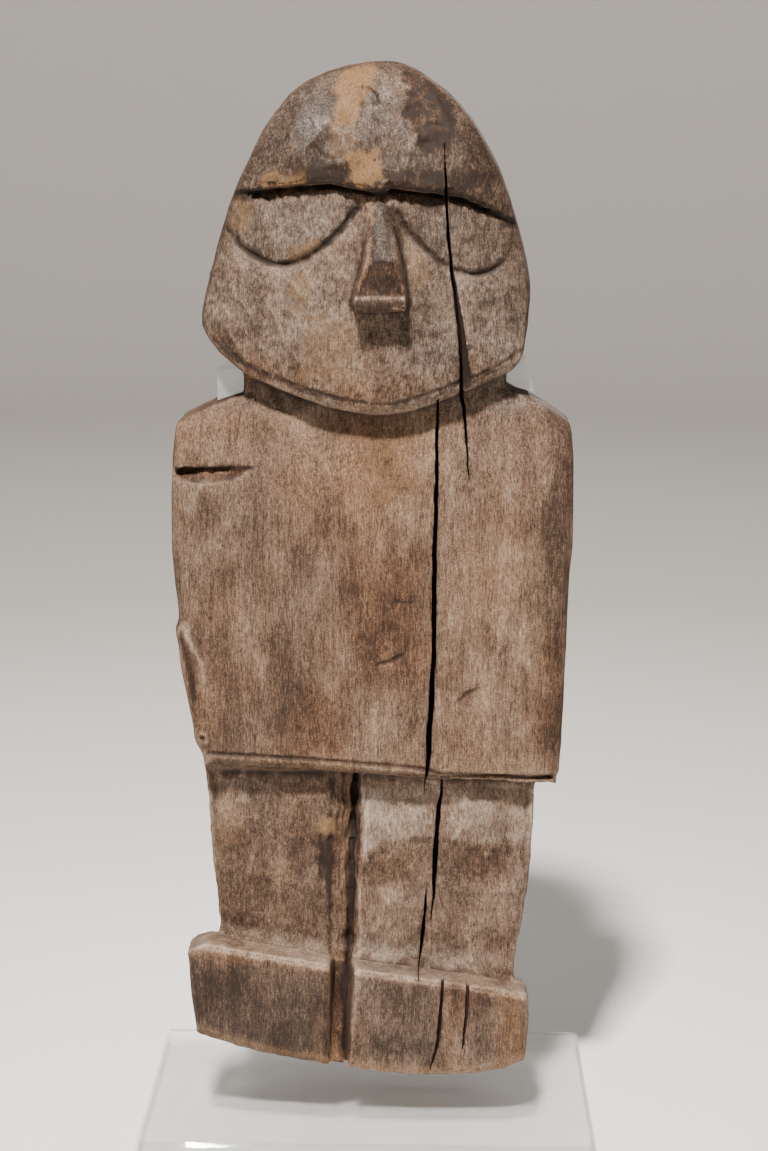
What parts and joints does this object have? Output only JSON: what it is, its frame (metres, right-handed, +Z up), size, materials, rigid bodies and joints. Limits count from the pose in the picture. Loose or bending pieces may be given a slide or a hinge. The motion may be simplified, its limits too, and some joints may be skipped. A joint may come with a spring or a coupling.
{
  "type": "carved wooden figure on stand",
  "caption": "Carved standing wooden figure with a domed head, ledge brow and block feet, held up by its neck on a clear acrylic stand with a bevelled plate.",
  "frame": {"origin": "middle of the base plate's underside", "axes": "+Z up, +X to the right as the figure is faced, the figure faces -Y"},
  "size_m": [0.23, 0.15, 0.5382],
  "materials": {
    "wood": "weathered, dry, worn by handling",
    "acrylic": "clear, polished"
  },
  "bodies": {
    "root": {"figure": "wood", "upright": "acrylic", "left_clip": "acrylic", "right_clip": "acrylic", "base_plate": "acrylic"}
  },
  "joints": []
}
